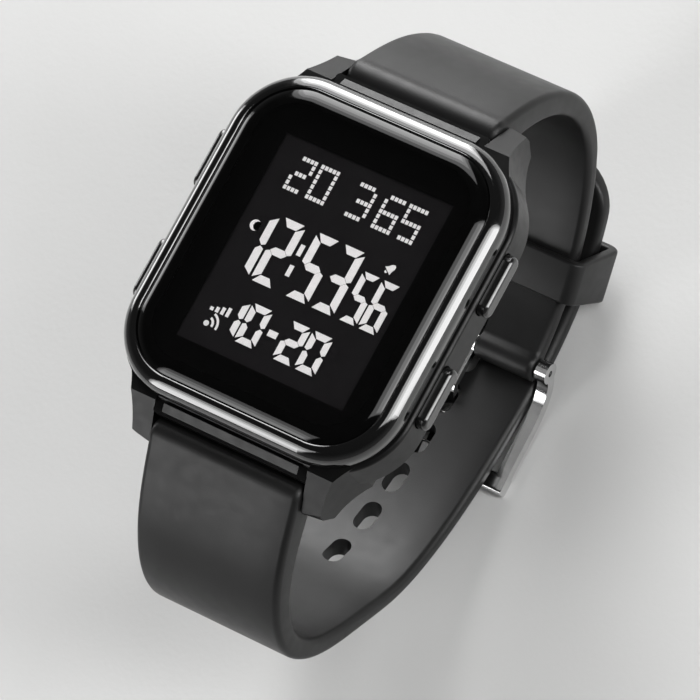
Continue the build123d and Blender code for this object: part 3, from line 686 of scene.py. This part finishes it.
# Figures of the top row, in dots: each dot is a small block
dotted = {
    "0": ["11111", "1...1", "1...1", "1...1", "1...1", "1...1", "11111"],
    "2": [".1111", "....1", "....1", ".111.", "1....", "1....", "1111."],
    "3": ["1111.", "....1", "....1", ".1111", "....1", "....1", "1111."],
    "5": ["11111", "1....", "1....", "11111", "....1", "....1", ".1111"],
    "6": [".1111", "1....", "1....", "11111", "1...1", "1...1", "11111"],
}
dot_width, dot_height = 0.42, 0.52
dot_step_x, dot_step_y = 0.56, 0.69
dotted_top = 11.85
dotted_places = [("2", -8.97), ("0", -5.72), ("3", 0.05), ("6", 3.9), ("5", 7.15)]
dots = []
for digit, left in dotted_places:
    for row, marks in enumerate(dotted[digit]):
        for column, mark in enumerate(marks):
            if mark == "1":
                x = left + column * dot_step_x
                y = dotted_top - row * dot_step_y
                dots.append(block(x - dot_width / 2, x + dot_width / 2,
                                  y - dot_height / 2, y + dot_height / 2))
inked("display_dots", dots)


# Small marks of the display: a sounding mark, a moon, a level gauge and a bell

wave_centre = (-9.4, -11.65)
wave_dot_radius = 0.36
wave_radii = (0.85, 1.5)
wave_width = 0.3
wave_angles = (-12, 72)
moon_centre = (-9.95, 1.85)
moon_radius = 0.72
moon_angles = (55, 305)
moon_bite_shift = 0.38
moon_bite_radius = 0.6
moon_bite_angles = (288, 72)
gauge_left = -9.9
gauge_bottom = -9.95
gauge_bars = 4
gauge_bar_width = 0.45
gauge_bar_step = 0.75
gauge_least_height = 0.45
gauge_rise = 0.25
bell_centre = (8.75, 3.75)
bell_turn = -38
bell_size = 1.0
bell_side_shares = [(0.62, -0.45), (0.42, 0.0), (0.36, 0.42), (0.12, 0.72)]
clapper_side_shares = [(0.12, -0.82), (0.2, -0.58)]


def arc(centre, radius, first, last, steps=12):
    """Points of an arc between two angles."""
    angles = [radians(first + (last - first) * k / steps) for k in range(steps + 1)]
    return [(centre[0] + radius * cos(a), centre[1] + radius * sin(a)) for a in angles]


def arc_band(centre, radius, width, first, last):
    """A curved band between two angles."""
    return arc(centre, radius + width / 2, first, last) + arc(centre, radius - width / 2, last, first)


def bell_outline(side_shares):
    """A shape of the bell, from its right side in shares of the bell's size, mirrored and turned."""
    c, s = cos(radians(bell_turn)), sin(radians(bell_turn))
    outline = [(-x * bell_size, y * bell_size) for x, y in side_shares]
    outline += [(x * bell_size, y * bell_size) for x, y in reversed(side_shares)]
    return [(bell_centre[0] + x * c - y * s, bell_centre[1] + x * s + y * c) for x, y in outline]


wave_dot = arc(wave_centre, wave_dot_radius, 0, 360, steps=16)[:-1]
wave_bands = [arc_band(wave_centre, radius, wave_width, *wave_angles) for radius in wave_radii]
moon_bite_centre = (moon_centre[0] + moon_bite_shift, moon_centre[1])
moon = (arc(moon_centre, moon_radius, *moon_angles, steps=25)
        + arc(moon_bite_centre, moon_bite_radius, *moon_bite_angles, steps=18))
gauge = []
for k in range(gauge_bars):
    left = gauge_left + k * gauge_bar_step
    top = gauge_bottom + gauge_least_height + k * gauge_rise
    gauge.append(block(left, left + gauge_bar_width, gauge_bottom, top))
inked("display_marks", [wave_dot, *wave_bands, moon, *gauge, bell_outline(bell_side_shares),
                        bell_outline(clapper_side_shares)])

# Camera, on the photograph's line of sight: its directions, its distance from the crystal's middle,
# and the pixel of the photograph where that middle stands
sight = Vector((0.4187, -0.1639, 0.8932)).normalized()
picture_right = Vector((0.8275, 0.4741, -0.3009)).normalized()
picture_up = Vector((-0.3741, 0.8651, 0.3341)).normalized()
camera_distance = 731.9
focal_pixels = 6061.0
picture_width = 700.0
window_pixel = (310.25, 262.7)
sensor_width = 36.0

camera_data = bpy.data.cameras.new("camera")
camera_data.sensor_width = sensor_width
camera_data.lens = focal_pixels / picture_width * sensor_width
camera = bpy.data.objects.new("camera", camera_data)
bpy.context.scene.collection.objects.link(camera)
camera_place = (Vector((0, 0, lens_top)) + sight * camera_distance) * mm
across = (picture_width / 2 - window_pixel[0]) / focal_pixels
down = (picture_width / 2 - window_pixel[1]) / focal_pixels
forward = (-sight + picture_right * across - picture_up * down).normalized()
side = forward.cross(picture_up).normalized()
upright = side.cross(forward)
camera.matrix_world = Matrix.Translation(camera_place) @ Matrix((
    (side.x, upright.x, -forward.x, 0),
    (side.y, upright.y, -forward.y, 0),
    (side.z, upright.z, -forward.z, 0),
    (0, 0, 0, 1),
))
bpy.context.scene.camera = camera

# Floor under the buckle and the keeper, through the two places in Y and Z where they rest on it
rest_near = (-6.0, -47.87)
rest_far = (22.2, -47.29)
floor_radius = 1600.0
floor_corners = 96
floor_tilt = (rest_far[1] - rest_near[1]) / (rest_far[0] - rest_near[0])
floor_level = rest_near[1] - floor_tilt * rest_near[0]
floor_finish = finish("pale_floor", (0.58, 0.58, 0.575), (0.61, 0.61, 0.605), patch=40.0,
                      rough=(0.6, 0.7), grain=0.8, depth=0.02)
floor_shape = bmesh.new()
floor_rim = []
for k in range(floor_corners):
    a = 2 * pi * k / floor_corners
    x, y = floor_radius * cos(a), floor_radius * sin(a)
    floor_rim.append(floor_shape.verts.new(Vector((x, y, floor_level + floor_tilt * y)) * mm))
floor_shape.faces.new(floor_rim)
floor_mesh = bpy.data.meshes.new("floor")
floor_shape.to_mesh(floor_mesh)
floor_shape.free()
floor = bpy.data.objects.new("floor", floor_mesh)
bpy.context.scene.collection.objects.link(floor)
floor_mesh.materials.append(floor_finish)

# Upright soft boxes: compass angle from 3 o'clock, lowest and highest elevation, width, all in
# degrees, and brightness; each is laid in lower and narrower sheets, so its borders are soft
lamp_distance = 900.0
sheet_shares = (1.0, 0.78, 0.58)
lamps = {
    "right_box": (14.0, 2.0, 74.0, 20.0, 11.0),
    "back_box": (119.0, 0.0, 58.0, 32.0, 11.5),
    "front_box": (240.0, 4.0, 54.0, 18.0, 8.0),
    "left_box": (170.0, 3.0, 22.0, 18.0, 8.0),
}
for name, (compass, low, high, wide, brightness) in lamps.items():
    for sheet, share in enumerate(sheet_shares):
        top = low + (high - low) * share
        turn, tilt = radians(compass), radians((low + top) / 2)
        toward = Vector((cos(turn) * cos(tilt), sin(turn) * cos(tilt), sin(tilt)))
        lamp_data = bpy.data.lights.new(f"{name}_{sheet}", "AREA")
        lamp_data.shape = "RECTANGLE"
        lamp_data.size = 2 * lamp_distance * mm * tan(radians(wide * share / 2))
        lamp_data.size_y = 2 * lamp_distance * mm * tan(radians((top - low) / 2))
        lamp_data.energy = brightness / len(sheet_shares) * pi * lamp_data.size * lamp_data.size_y
        lamp = bpy.data.objects.new(lamp_data.name, lamp_data)
        lamp.matrix_world = (Matrix.Translation(toward * (lamp_distance * mm))
                             @ toward.to_track_quat("Z", "Y").to_matrix().to_4x4())
        bpy.context.scene.collection.objects.link(lamp)

# World: pale round the horizon and dim overhead, like a room with a dark ceiling
horizon_tone = 0.22
zenith_tone = 0.04
zenith_from_share = 0.6
world = bpy.data.worlds.new("studio")
world.use_nodes = True
bpy.context.scene.world = world
sky = world.node_tree
place = sky.nodes.new("ShaderNodeTexCoord")
split = sky.nodes.new("ShaderNodeSeparateXYZ")
ramp = sky.nodes.new("ShaderNodeValToRGB")
horizon, zenith = ramp.color_ramp.elements
horizon.position, zenith.position = 0.0, zenith_from_share
horizon.color, zenith.color = (*grey(horizon_tone), 1), (*grey(zenith_tone), 1)
sky.links.new(place.outputs["Generated"], split.inputs["Vector"])
sky.links.new(split.outputs["Z"], ramp.inputs["Fac"])
sky.links.new(ramp.outputs["Color"], sky.nodes["Background"].inputs["Color"])

bpy.context.scene.view_settings.view_transform = "Standard"
